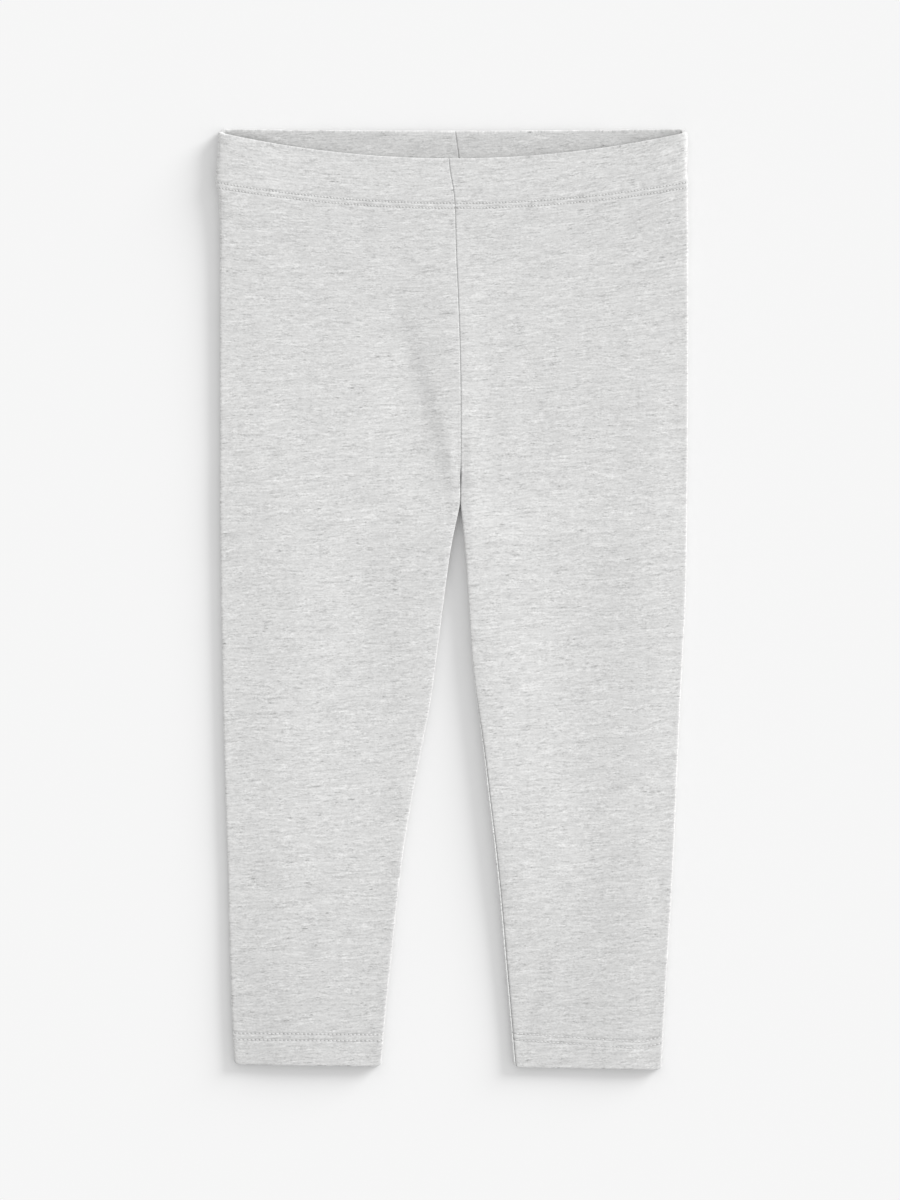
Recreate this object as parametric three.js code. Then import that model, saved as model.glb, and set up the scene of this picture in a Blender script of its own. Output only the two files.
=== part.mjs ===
// Small child's jersey leggings, laid flat on their back on a level surface.
// Millimetres. X runs to the wearer's left, Y to the waist, Z up from the surface.
// Each leg is one panel of cloth with no side seam: it runs from the front seam edge
// across the front, round the side fold and back underneath to the back seam edge.
// Places down the garment are levels, in mm below the back waist edge.

import * as THREE from 'three';

// Sizes of the whole
const LENGTH = 451.4; // back waist edge to the lowest hem
const CROTCH = 179.5; // level where the legs part

// Cloth
const WALL = 1.15; // one layer
const GAP = 0.3; // between seam edges, and between layers that lie on each other
const TURN_REACH = WALL + GAP / 2; // how far a turned edge stands beyond the centre of its turn
const TURN_STEPS = 4; // facets round a turned edge

// Turned edges
const CASING_DEPTH = 28.5; // turned in at the waist, just past its two stitch rows
const HEM_DEPTH = 16; // turned up at the foot

// Waist edge: the front dips below the back, and both drop a little at the side folds
const FRONT_DROP = 14.4; // at the centre front
const BACK_DROP = 1; // at the centre back
const SIDE_DROP = 1.9; // at the side folds
const SIDE_CORNER = 3.4; // width of the rounded back corner
const DROP_FADE = 100; // level where the mesh rows run level again

// Foot corners
const FOOT_CORNER_WIDTH = 3;
const FOOT_CORNER_RISE = 1.5;
const FOOT_FADE = 60; // distance above the hem over which the rows take its slant

// Roll of the panel into the fork, where the seam edges sink between the legs
const FRONT_ROLL = 26; // length above the crotch
const BACK_ROLL = 20;
const FORK_RISE = 60; // length above the crotch over which the inner edge plumps up
const SIDE_RISE = 25; // width over which the front rises to a fold
const FOLD_FADE = 14; // width beside a fold that soft folds leave plain

// Total height of the two layers, at the folded sides and in the middle
const LOFT = [
  { level: 0, fold: 7.6, middle: 5.6 },
  { level: 39, fold: 7.6, middle: 5.6 },
  { level: 64, fold: 6.2, middle: 3.9 },
  { level: 100, fold: 5.6, middle: 3.5 },
  { level: 180, fold: 5.8, middle: 3.5 },
  { level: 260, fold: 5.4, middle: 3.3 },
  { level: 398, fold: 5.4, middle: 3.3 },
  { level: 428, fold: 6.8, middle: 5.6 },
  { level: 452, fold: 6.8, middle: 5.6 },
];

// X of the centre seams
const CENTRE_SEAMS = [
  { level: 0, front: -1.6, back: 1.5 },
  { level: 15, front: -1.3, back: 3.5 },
  { level: 35, front: 1.4, back: 4.6 },
  { level: 63, front: 2.3, back: 5 },
  { level: 82, front: 3.2, back: 5 },
  { level: 106, front: 4, back: 4.8 },
  { level: 130, front: 4.4, back: 4.6 },
  { level: 154, front: 4.4, back: 4.4 },
  { level: CROTCH, front: 4.2, back: 4.2 },
];

// The two legs. Reach is measured from X = 0 towards the leg's own side, and seamTurn is how far
// round the inner fold the inseam lies, in degrees from its top.
const LEGS = [
  {
    name: 'right',
    side: -1,
    outer: [
      { level: 0, reach: 111.9 },
      { level: 15, reach: 112.4 },
      { level: 25, reach: 113.4 },
      { level: 33, reach: 111.7 },
      { level: 58, reach: 111.2 },
      { level: 155, reach: 111.2 },
      { level: 202, reach: 110.9 },
      { level: 250, reach: 110.2 },
      { level: 298, reach: 109.2 },
      { level: 346, reach: 107.7 },
      { level: 400, reach: 106.3 },
      { level: 433, reach: 105.2 },
      { level: LENGTH, reach: 104.2 },
    ],
    inner: [
      { level: CROTCH, reach: -4.2 },
      { level: 202, reach: 0.4 },
      { level: 226, reach: 3.7 },
      { level: 250, reach: 6.8 },
      { level: 274, reach: 10 },
      { level: 298, reach: 14.6 },
      { level: 322, reach: 19.2 },
      { level: 346, reach: 23.1 },
      { level: 370, reach: 26.1 },
      { level: 394, reach: 28.5 },
      { level: 418, reach: 31.1 },
      { level: LENGTH, reach: 34 },
    ],
    seamTurn: [
      { level: CROTCH, degrees: 90 },
      { level: 260, degrees: 100 },
    ],
    foot: { inner: 449.8, outer: 448.8 },
  },
  {
    name: 'left',
    side: 1,
    outer: [
      { level: 0, reach: 112.9 },
      { level: 10, reach: 113.1 },
      { level: 20, reach: 112.7 },
      { level: 28, reach: 113.4 },
      { level: 106, reach: 113.3 },
      { level: 154, reach: 113.1 },
      { level: 202, reach: 112.6 },
      { level: 226, reach: 112.1 },
      { level: 250, reach: 110.9 },
      { level: 298, reach: 108.5 },
      { level: 346, reach: 106.5 },
      { level: 394, reach: 103.7 },
      { level: LENGTH, reach: 100.6 },
    ],
    inner: [
      { level: CROTCH, reach: 4.2 },
      { level: 202, reach: 6.4 },
      { level: 226, reach: 8 },
      { level: 250, reach: 9.5 },
      { level: 274, reach: 11.9 },
      { level: 298, reach: 15 },
      { level: 322, reach: 17.7 },
      { level: 346, reach: 20.5 },
      { level: 370, reach: 22.9 },
      { level: 394, reach: 24.9 },
      { level: 418, reach: 27 },
      { level: LENGTH, reach: 29.9 },
    ],
    seamTurn: [
      { level: CROTCH, degrees: 90 },
      { level: 255, degrees: 80 },
      { level: 288, degrees: 35 },
      { level: 320, degrees: 25 },
    ],
    foot: { inner: 450.2, outer: LENGTH },
  },
];

// Soft ridges and troughs in the front, each from one end to the other
const SOFT_FOLDS = [
  { x0: 6, level0: 62, x1: 8, level1: 176, width0: 16, width1: 12, height: 0.9 },
  { x0: -34, level0: 66, x1: -2, level1: 178, width0: 13, width1: 8, height: -0.5 },
  { x0: 66, level0: 100, x1: 62, level1: 340, width0: 16, width1: 16, height: -0.5 },
  { x0: 64, level0: 320, x1: 36, level1: 432, width0: 14, width1: 9, height: -0.4 },
  { x0: -68, level0: 225, x1: -42, level1: 412, width0: 15, width1: 12, height: -0.5 },
];

// Mesh rows down the panel, from the turned waist edge to the turned hem
const PANEL_ROWS = [
  { to: 39, steps: 6 },
  { to: 64, steps: 3 },
  { to: 152, steps: 5 },
  { to: CROTCH, steps: 5 },
  { to: 202, steps: 3 },
  { to: 298, steps: 4 },
  { to: 400, steps: 5 },
  { to: 434, steps: 3 },
  { to: LENGTH - TURN_REACH - GAP, steps: 2 },
];
const CASING_STEPS = 5;
const HEM_STEPS = 3;

// Stretches of the panel's section, from the front seam edge to the back seam edge
const FRONT_SEAM_ROLL = 0;
const FRONT = 1;
const SIDE_FOLD = 2;
const BACK = 3;
const BACK_SEAM_ROLL = 4;
const STRETCH_STEPS = [5, 9, 7, 5, 5];

const NORMAL_STEP = 0.001; // of a stretch, for the section's direction

function mix(a, b, t) {
  return a + (b - a) * t;
}

function smoothStep(from, to, value) {
  const t = Math.min(Math.max((value - from) / (to - from), 0), 1);
  return t * t * (3 - 2 * t);
}

// Value of a table's column at a level, on a curve with no overshoot between rows
function valueAt(rows, column, level) {
  const last = rows.length - 1;
  if (level <= rows[0].level) return rows[0][column];
  if (level >= rows[last].level) return rows[last][column];
  let row = 0;
  while (rows[row + 1].level < level) row += 1;
  const slopeAfter = (k) => {
    return (rows[k + 1][column] - rows[k][column]) / (rows[k + 1].level - rows[k].level);
  };
  const slopeAt = (k) => {
    if (k === 0) return slopeAfter(0);
    if (k === last) return slopeAfter(last - 1);
    const before = slopeAfter(k - 1);
    const after = slopeAfter(k);
    return before * after <= 0 ? 0 : (2 * before * after) / (before + after);
  };
  const span = rows[row + 1].level - rows[row].level;
  const t = (level - rows[row].level) / span;
  const ease = t * t * (3 - 2 * t);
  const leave = t * (1 - t) * (1 - t) * span * slopeAt(row);
  const arrive = t * t * (1 - t) * span * slopeAt(row + 1);
  return mix(rows[row][column], rows[row + 1][column], ease) + leave - arrive;
}

// Reach of the seam edge: the centre seams above the crotch, the leg's inner edge below it
function innerReach(leg, face, level) {
  if (level < CROTCH) return leg.side * valueAt(CENTRE_SEAMS, face, level) + GAP / 2;
  return valueAt(leg.inner, 'reach', level) + GAP / 2;
}

function outerReach(leg, level) {
  return valueAt(leg.outer, 'reach', level);
}

function foldRadius(level) {
  return valueAt(LOFT, 'fold', level) / 2;
}

function softFoldHeight(x, level) {
  let height = 0;
  for (const fold of SOFT_FOLDS) {
    const runX = fold.x1 - fold.x0;
    const runLevel = fold.level1 - fold.level0;
    const run = Math.hypot(runX, runLevel);
    const along = ((x - fold.x0) * runX + (level - fold.level0) * runLevel) / (run * run);
    const across = ((x - fold.x0) * runLevel - (level - fold.level0) * runX) / run;
    if (along <= 0 || along >= 1) continue;
    const offset = across / mix(fold.width0, fold.width1, along);
    if (Math.abs(offset) >= 1) continue;
    const lengthwise = (1 - (2 * along - 1) ** 4) ** 2;
    const crosswise = (1 - offset ** 2) ** 2;
    height += fold.height * lengthwise * crosswise;
  }
  return height;
}

// Height of the front's outer face above the surface
function frontHeight(leg, reach, level) {
  const radius = foldRadius(level);
  const middle = valueAt(LOFT, 'middle', level);
  const toOuterFold = outerReach(leg, level) - radius - reach;
  const toInnerFold = reach - radius - innerReach(leg, 'front', level);
  const legs = smoothStep(CROTCH - FORK_RISE, CROTCH, level);
  const outerRise = 1 - smoothStep(0, SIDE_RISE, toOuterFold);
  const innerRise = legs * (1 - smoothStep(0, SIDE_RISE, toInnerFold));
  const plain = smoothStep(0, FOLD_FADE, toOuterFold) * mix(1, smoothStep(0, FOLD_FADE, toInnerFold), legs);
  const rise = (2 * radius - middle) * Math.min(outerRise + innerRise, 1);
  return middle + rise + plain * softFoldHeight(leg.side * reach, level);
}

// Seam edge stretch of the front: flat above the fork, rolled down round the inner fold below it
function frontSeamRoll(leg, t, level) {
  const radius = foldRadius(level);
  const inner = innerReach(leg, 'front', level);
  const rolled = smoothStep(CROTCH - FRONT_ROLL, CROTCH, level);
  const turn = THREE.MathUtils.degToRad(valueAt(leg.seamTurn, 'degrees', level));
  const angle = turn * (1 - t);
  const half = frontHeight(leg, inner + radius, level) / 2;
  const part = (1 - t) * (GAP / 2);
  const flatReach = inner + radius * t;
  const rollReach = inner + radius * (1 - Math.sin(angle)) + part * Math.cos(turn);
  const rollZ = half + half * Math.cos(angle) + part * Math.sin(turn);
  return {
    reach: mix(flatReach, rollReach, rolled),
    z: mix(frontHeight(leg, flatReach, level), rollZ, rolled),
  };
}

// Seam edge stretch of the back: the rest of the inner fold, from the surface up to the seam
function backSeamRoll(leg, t, level) {
  const radius = foldRadius(level);
  const inner = innerReach(leg, 'back', level);
  const rolled = smoothStep(CROTCH - BACK_ROLL, CROTCH, level);
  const turn = THREE.MathUtils.degToRad(valueAt(leg.seamTurn, 'degrees', level));
  const angle = (Math.PI - turn) * t;
  const half = frontHeight(leg, inner + radius, level) / 2;
  const part = t * (GAP / 2);
  const rollReach = inner + radius * (1 - Math.sin(angle)) - part * Math.cos(turn);
  const rollZ = half - half * Math.cos(angle) - part * Math.sin(turn);
  return {
    reach: mix(inner + radius * (1 - t), rollReach, rolled),
    z: rollZ * rolled,
  };
}

// Half circle from the front's outer edge down to the back
function sideFold(leg, t, level) {
  const radius = foldRadius(level);
  const centre = outerReach(leg, level) - radius;
  const half = frontHeight(leg, centre, level) / 2;
  return {
    reach: centre + radius * Math.sin(Math.PI * t),
    z: half + half * Math.cos(Math.PI * t),
  };
}

// Outer face of the panel at a place in its section, as reach and height
function sectionPoint(leg, place, level) {
  const stretch = Math.min(Math.floor(place), BACK_SEAM_ROLL);
  const t = place - stretch;
  const radius = foldRadius(level);
  const foldTop = outerReach(leg, level) - radius;
  if (stretch === FRONT_SEAM_ROLL) return frontSeamRoll(leg, t, level);
  if (stretch === FRONT) {
    const reach = mix(innerReach(leg, 'front', level) + radius, foldTop, t);
    return { reach, z: frontHeight(leg, reach, level) };
  }
  if (stretch === SIDE_FOLD) return sideFold(leg, t, level);
  if (stretch === BACK) {
    return { reach: mix(foldTop, innerReach(leg, 'back', level) + radius, t), z: 0 };
  }
  return backSeamRoll(leg, t, level);
}

// Drop of the waist edge below level 0
function waistDrop(leg, place, reach, level) {
  const outer = outerReach(leg, level);
  const across = Math.min(Math.abs(reach) / outer, 1);
  if (place < SIDE_FOLD + 0.5) return mix(FRONT_DROP, SIDE_DROP, across ** 2);
  const intoCorner = Math.max(1 - (outer - reach) / SIDE_CORNER, 0);
  const corner = SIDE_DROP * (1 - Math.sqrt(1 - intoCorner ** 2));
  return BACK_DROP * (1 - across ** 2) + corner;
}

// Rise of the hem above the lowest level, with its slant and rounded corners
function footRise(leg, reach, level) {
  const inner = innerReach(leg, 'front', level);
  const outer = outerReach(leg, level);
  const across = (reach - inner) / (outer - inner);
  const toEdge = Math.max(Math.min(reach - inner, outer - reach), 0);
  const intoCorner = Math.max(1 - toEdge / FOOT_CORNER_WIDTH, 0);
  const corner = FOOT_CORNER_RISE * (1 - Math.sqrt(1 - intoCorner ** 2));
  return LENGTH - mix(leg.foot.inner, leg.foot.outer, across) + corner;
}

// Level of a mesh row, which follows the waist edge at the top and the hem at the foot
function rowLevel(leg, place, down) {
  const { reach } = sectionPoint(leg, place, down);
  const fade = Math.max(1 - down / DROP_FADE, 0);
  const footFade = Math.max(1 - (LENGTH - down) / FOOT_FADE, 0);
  return down + fade * waistDrop(leg, place, reach, down) - footFade * footRise(leg, reach, down);
}

// Point at a place in the section, a distance down the cloth and a depth inside its outer face
function clothPoint(leg, place, down, depth) {
  const level = rowLevel(leg, place, down);
  const point = sectionPoint(leg, place, level);
  const before = sectionPoint(leg, Math.max(place - NORMAL_STEP, 0), level);
  const after = sectionPoint(leg, Math.min(place + NORMAL_STEP, BACK_SEAM_ROLL + 1), level);
  const alongReach = after.reach - before.reach;
  const alongZ = after.z - before.z;
  const run = Math.hypot(alongReach, alongZ);
  return new THREE.Vector3(
    leg.side * (point.reach + (depth * alongZ) / run),
    LENGTH / 2 - level,
    point.z - (depth * alongReach) / run,
  );
}

// Places in the section where the mesh has its points
function sectionPlaces() {
  const places = [0];
  STRETCH_STEPS.forEach((steps, stretch) => {
    for (let step = 1; step <= steps; step += 1) places.push(stretch + step / steps);
  });
  return places;
}

// A layer of cloth: a strip of near and far points seen in the cloth's thickness, swept round the leg.
// Near points lie on the face that starts outermost.
function sweptLayer(leg, strip) {
  const places = sectionPlaces();
  const positions = [];
  for (const place of places) {
    for (const pair of strip) {
      clothPoint(leg, place, pair.near.down, pair.near.depth).toArray(positions, positions.length);
      clothPoint(leg, place, pair.far.down, pair.far.depth).toArray(positions, positions.length);
    }
  }
  const near = (place, pair) => 2 * (place * strip.length + pair);
  const far = (place, pair) => near(place, pair) + 1;
  const indices = [];
  const addQuad = (a, b, c, d) => {
    const corners = leg.side > 0 ? [a, b, c, a, c, d] : [a, c, b, a, d, c];
    indices.push(...corners);
  };
  const lastPlace = places.length - 1;
  const lastPair = strip.length - 1;
  for (let i = 0; i < lastPlace; i += 1) {
    for (let j = 0; j < lastPair; j += 1) {
      addQuad(near(i, j), near(i, j + 1), near(i + 1, j + 1), near(i + 1, j));
      addQuad(far(i, j), far(i + 1, j), far(i + 1, j + 1), far(i, j + 1));
    }
    addQuad(near(i, 0), near(i + 1, 0), far(i + 1, 0), far(i, 0));
    addQuad(near(i, lastPair), far(i, lastPair), far(i + 1, lastPair), near(i + 1, lastPair));
  }
  for (let j = 0; j < lastPair; j += 1) {
    addQuad(near(0, j), far(0, j), far(0, j + 1), near(0, j + 1));
    addQuad(near(lastPlace, j), near(lastPlace, j + 1), far(lastPlace, j + 1), far(lastPlace, j));
  }
  const geometry = new THREE.BufferGeometry();
  geometry.setAttribute('position', new THREE.Float32BufferAttribute(positions, 3));
  geometry.setIndex(indices);
  geometry.computeVertexNormals();
  return geometry;
}

// The leg panel's strip, between its two turned edges
function panelStrip() {
  let down = TURN_REACH + GAP;
  const downs = [down];
  for (const { to, steps } of PANEL_ROWS) {
    const from = down;
    for (let step = 1; step <= steps; step += 1) downs.push(mix(from, to, step / steps));
    down = to;
  }
  return downs.map((rowDown) => ({
    near: { down: rowDown, depth: 0 },
    far: { down: rowDown, depth: WALL },
  }));
}

// The strip of a turned edge: half a turn about the edge, then flat inside the panel.
// The edge is a distance down the cloth, and inward is +1 where the cloth lies below it.
function turnedStrip(edge, inward, depth, flatSteps) {
  const centre = edge + inward * TURN_REACH;
  const strip = [];
  for (let step = 0; step <= TURN_STEPS; step += 1) {
    const angle = (Math.PI * step) / TURN_STEPS;
    const around = (radius) => ({
      down: centre - inward * radius * Math.sin(angle),
      depth: TURN_REACH - radius * Math.cos(angle),
    });
    strip.push({ near: around(TURN_REACH), far: around(GAP / 2) });
  }
  for (let step = 1; step <= flatSteps; step += 1) {
    const down = mix(centre, edge + inward * depth, step / flatSteps);
    strip.push({
      near: { down, depth: 2 * TURN_REACH },
      far: { down, depth: TURN_REACH + GAP / 2 },
    });
  }
  return inward < 0 ? strip : strip.map(({ near, far }) => ({ near: far, far: near }));
}

const jersey = new THREE.MeshStandardMaterial({ color: 0xd9d9d8, roughness: 0.95, metalness: 0 });
const turnedJersey = new THREE.MeshStandardMaterial({ color: 0xd2d2d1, roughness: 0.95, metalness: 0 });

function clothMesh(name, leg, strip, material) {
  const mesh = new THREE.Mesh(sweptLayer(leg, strip), material);
  mesh.name = `${name}_${leg.name}`;
  return mesh;
}

const leggings = new THREE.Group();
for (const leg of LEGS) {
  leggings.add(clothMesh('leg', leg, panelStrip(), jersey));
  leggings.add(clothMesh('casing', leg, turnedStrip(0, 1, CASING_DEPTH, CASING_STEPS), turnedJersey));
  leggings.add(clothMesh('hem', leg, turnedStrip(LENGTH, -1, HEM_DEPTH, HEM_STEPS), turnedJersey));
}

export default leggings;
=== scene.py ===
"""Marl jersey leggings for a small child, laid flat on their back on a pale surface.

Sizes are in millimetres and become metres as the meshes are made. Places down the garment are
levels, in mm below the back waist edge. Each leg is one panel with no side seam, from the front
seam edge over the front, round the side fold and back underneath to the back seam edge.
"""
import math

import bpy
import numpy as np
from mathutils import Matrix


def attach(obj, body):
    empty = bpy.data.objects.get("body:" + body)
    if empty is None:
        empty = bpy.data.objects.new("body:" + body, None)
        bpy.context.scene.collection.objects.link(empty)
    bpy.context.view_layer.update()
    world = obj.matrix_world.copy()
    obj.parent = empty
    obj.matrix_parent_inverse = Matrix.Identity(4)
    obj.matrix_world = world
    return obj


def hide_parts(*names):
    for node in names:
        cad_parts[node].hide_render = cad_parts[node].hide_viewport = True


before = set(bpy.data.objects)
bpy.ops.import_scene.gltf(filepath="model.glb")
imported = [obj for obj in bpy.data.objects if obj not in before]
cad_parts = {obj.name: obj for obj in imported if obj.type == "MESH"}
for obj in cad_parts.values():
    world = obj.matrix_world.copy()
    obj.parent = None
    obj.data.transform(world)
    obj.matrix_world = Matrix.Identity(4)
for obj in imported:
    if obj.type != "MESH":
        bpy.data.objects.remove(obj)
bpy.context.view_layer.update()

MM = 0.001
SEED = 11

# Sizes of the whole
LENGTH = 451.4  # back waist edge to the lowest hem
CROTCH = 179.5  # level where the legs part

# Cloth
CLOTH = 0.9  # thickness of one layer
SEAM_GAP = 0.04  # between seam edges
WAIST_TURN = 1.3  # from the outer face to the middle of the turned casing, over the elastic
HEM_TURN = 0.93
CASING_DEPTH = 28.6
CASING_PINCH = 0.55  # how much thinner the casing is at its stitching than at its edge
CASING_PINCH_SPAN = (2, 15)  # distances down between which it thins
HEM_DEPTH = 17.0

# Waist edge: the front dips below the back, and both drop a little at the side folds
FRONT_DROP = 14.4
BACK_DROP = 1.0
SIDE_DROP = 1.9
SIDE_CORNER = 3.4
DROP_FADE = 125.0
BACK_LIFT = 1.3  # of the back waist edge off the surface, where the front leaves it bare
BACK_LIFT_SPAN = (3, 13)  # distances above the front edge between which it lifts

# Foot corners
FOOT_CORNER_WIDTH = 3.0
FOOT_CORNER_RISE = 1.5
FOOT_FADE = 60.0

# Heights above the fork over which the panel rolls into it, roundness of folds, and widths over
# which the front rises to its folds
FRONT_ROLL = 17.0
BACK_ROLL = 20.0
FORK_RISE = 60.0
FORK_ROUND = 0.42  # how round the inner folds are at the fork
TURN_ROUND = 0.5  # and the turned edges
UNDERNEATH = (0.4 * math.pi, 0.75 * math.pi)  # angles between which a fold turns rounder
SIDE_RISE = 40.0
INNER_RISE = 45.0
FOLD_FADE = 14.0  # width beside the outer fold that soft folds leave plain
FORK_FADE = 2.5  # and beside the inner fold

# Total height of the two layers, at the folded sides and in the middle, half the width of a fold
# and how round it is: 1 is half an ellipse, and less is flatter with tighter corners
LOFT = [
    {"level": 0, "fold": 6.9, "middle": 5.7, "width": 3.5, "round": 0.55},
    {"level": 26, "fold": 6.7, "middle": 5.7, "width": 3.4, "round": 0.52},
    {"level": 62, "fold": 5.0, "middle": 4.7, "width": 2.2, "round": 0.45},
    {"level": 110, "fold": 4.3, "middle": 4.0, "width": 1.7, "round": 0.42},
    {"level": 180, "fold": 4.0, "middle": 3.8, "width": 1.6, "round": 0.42},
    {"level": 260, "fold": 3.8, "middle": 3.6, "width": 1.6, "round": 0.42},
    {"level": 370, "fold": 3.8, "middle": 3.6, "width": 1.6, "round": 0.42},
    {"level": 425, "fold": 4.1, "middle": 4.1, "width": 2.1, "round": 0.45},
    {"level": 452, "fold": 4.2, "middle": 4.2, "width": 2.1, "round": 0.5},
]

# X of the centre seams
CENTRE_SEAMS = [
    {"level": 0, "front": -1.6, "back": 1.5},
    {"level": 15, "front": -1.3, "back": 3.5},
    {"level": 35, "front": 1.4, "back": 4.6},
    {"level": 63, "front": 2.3, "back": 5.0},
    {"level": 82, "front": 3.2, "back": 5.0},
    {"level": 106, "front": 4.0, "back": 4.8},
    {"level": 130, "front": 4.4, "back": 4.6},
    {"level": 154, "front": 4.4, "back": 4.4},
    {"level": CROTCH, "front": 4.2, "back": 4.2},
]

# Reach is measured from X = 0 towards the leg's own side. The seam's turn is how far round the
# inner fold the inseam lies, in degrees from its top. The hem row is how far the upper row of
# stitches lies above the hem, at the leg's inner and outer edge, and how far it climbs beside the
# outer fold. The crown is a swell of the front a little way in from the outer fold. The lift is
# how much higher than the loft says the whole front stands, and its inner fold besides. The
# inner fold's roundness is given as in the loft.
LEGS = [
    {
        "name": "right",
        "side": -1,
        "outer": [
            {"level": 0, "reach": 111.9},
            {"level": 15, "reach": 112.4},
            {"level": 25, "reach": 113.4},
            {"level": 33, "reach": 111.7},
            {"level": 58, "reach": 111.2},
            {"level": 155, "reach": 111.2},
            {"level": 202, "reach": 110.9},
            {"level": 250, "reach": 110.2},
            {"level": 298, "reach": 109.2},
            {"level": 346, "reach": 107.7},
            {"level": 400, "reach": 106.3},
            {"level": 433, "reach": 105.2},
            {"level": LENGTH, "reach": 104.2},
        ],
        "inner": [
            {"level": CROTCH, "reach": -4.2},
            {"level": 202, "reach": 0.4},
            {"level": 226, "reach": 3.7},
            {"level": 250, "reach": 6.8},
            {"level": 274, "reach": 10.0},
            {"level": 298, "reach": 14.6},
            {"level": 322, "reach": 19.2},
            {"level": 346, "reach": 23.1},
            {"level": 370, "reach": 26.1},
            {"level": 394, "reach": 28.5},
            {"level": 418, "reach": 31.1},
            {"level": LENGTH, "reach": 34.0},
        ],
        "seam_turn": [
            {"level": CROTCH, "degrees": 90},
            {"level": 260, "degrees": 100},
        ],
        "foot": {"inner": 449.8, "outer": 448.8},
        "hem_row": {"inner": 15.8, "outer": 15.7, "edge": 0.0},
        "crown": {"height": 1.0, "peak": 27.0, "width": 80.0, "levels": (100, 210)},
        "lift": [
            {"level": 173, "whole": 0, "inner": 0},
            {"level": 196, "whole": 0, "inner": 1.2},
            {"level": 225, "whole": 0, "inner": 1.0},
            {"level": 280, "whole": 0, "inner": 0.5},
            {"level": 400, "whole": 0, "inner": 0.4},
        ],
        "inner_round": 0.38,
    },
    {
        "name": "left",
        "side": 1,
        "outer": [
            {"level": 0, "reach": 112.9},
            {"level": 10, "reach": 113.1},
            {"level": 20, "reach": 112.7},
            {"level": 28, "reach": 113.4},
            {"level": 106, "reach": 113.3},
            {"level": 154, "reach": 113.1},
            {"level": 202, "reach": 112.6},
            {"level": 226, "reach": 112.1},
            {"level": 250, "reach": 110.9},
            {"level": 298, "reach": 108.5},
            {"level": 346, "reach": 106.5},
            {"level": 394, "reach": 103.7},
            {"level": LENGTH, "reach": 100.6},
        ],
        "inner": [
            {"level": CROTCH, "reach": 4.2},
            {"level": 202, "reach": 6.4},
            {"level": 226, "reach": 8.0},
            {"level": 250, "reach": 9.5},
            {"level": 274, "reach": 11.9},
            {"level": 298, "reach": 15.0},
            {"level": 322, "reach": 17.7},
            {"level": 346, "reach": 20.5},
            {"level": 370, "reach": 22.9},
            {"level": 394, "reach": 24.9},
            {"level": 418, "reach": 27.0},
            {"level": LENGTH, "reach": 29.9},
        ],
        "seam_turn": [
            {"level": CROTCH, "degrees": 90},
            {"level": 255, "degrees": 70},
            {"level": 290, "degrees": 16},
            {"level": 312, "degrees": 6},
            {"level": 350, "degrees": 2.3},
            {"level": 372, "degrees": 1.6},
            {"level": 400, "degrees": 3.4},
            {"level": 425, "degrees": 5.5},
        ],
        "foot": {"inner": 450.2, "outer": LENGTH},
        "hem_row": {"inner": 16.8, "outer": 12.7, "edge": 3.0},
        "crown": {"height": 0.45, "peak": 15.0, "width": 48.0, "levels": (70, 150)},
        "lift": [
            {"level": 173, "whole": 0, "inner": 0},
            {"level": 200, "whole": 1.0, "inner": 1.5},
            {"level": 300, "whole": 1.0, "inner": 1.3},
            {"level": 350, "whole": 0.8, "inner": 1.1},
            {"level": 400, "whole": 0.2, "inner": 0.4},
            {"level": 430, "whole": 0, "inner": 0},
        ],
        "inner_round": 0.25,
    },
]

# Soft ridges and troughs in the front, as X and level at each end, and how far each spreads
# towards the wearer's right and left
SOFT_FOLDS = [
    {"side": 1, "start": (2, 50), "end": (4, 215), "spread": (8, 15), "height": 0.75},
    {"side": -1, "start": (2, 50), "end": (4, 215), "spread": (24, 8), "height": 0.75},
    {"side": -1, "start": (-33, 66), "end": (7, 212), "spread": (30, 8), "height": -0.85},
    {"side": 1, "start": (62, 150), "end": (56, 425), "spread": (32, 28), "height": -0.38},
    {"side": -1, "start": (-30, 200), "end": (-40, 440), "spread": (34, 12), "height": -0.22},
    {"side": 1, "start": (47, 388), "end": (31, 450), "spread": (7, 5), "height": -0.34},
]
WAVES = 22  # slow unevenness of cloth laid by hand
WAVE_LENGTHS = (26, 95)
WAVE_SLOPE = 0.0018

# Stitching: twin rows, each in its own shallow channel
WAIST_ROW = 24.4  # upper row, below the waist edge
WAIST_SPACING = 2.6
WAIST_PITCH = 1.55
HEM_SPACING = 3.15
HEM_PITCH = 1.95
HEM_CLIMB = 0.84  # share of the leg's width past which the hem rows climb
CHANNEL_DEPTH = 0.18
CHANNEL_WIDTH = 0.6
PUCKER_LENGTHS = (4.7, 6.3, 9.1, 13.7)
PUCKER_SWELL = 7.3  # pucker lengths over which they swell and fade
PUCKER_SWING = 0.5
PUCKER_HEIGHT = 0.022
PUCKER_REACH = 4.2
THREAD_RADIUS = 0.19
SEAM_CLEAR = 0.9  # no stitch starts nearer than this to a seam edge

# Seams: the cloth rolls in to its seam edges
SEAM_SINK = 0.3
SEAM_WIDTH = 0.6
SHOULDER_SINK = 0.12  # of the front beside the inseams
SHOULDER_WIDTH = 4.0
SHOULDER_LEVELS = (CROTCH, CROTCH + 60)
UNEVEN_FADE = 6.0  # width beside a seam over which the front's unevenness fades
SEAM_INSIDE = -0.9  # share of the sink on the layer that is turned in

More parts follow.
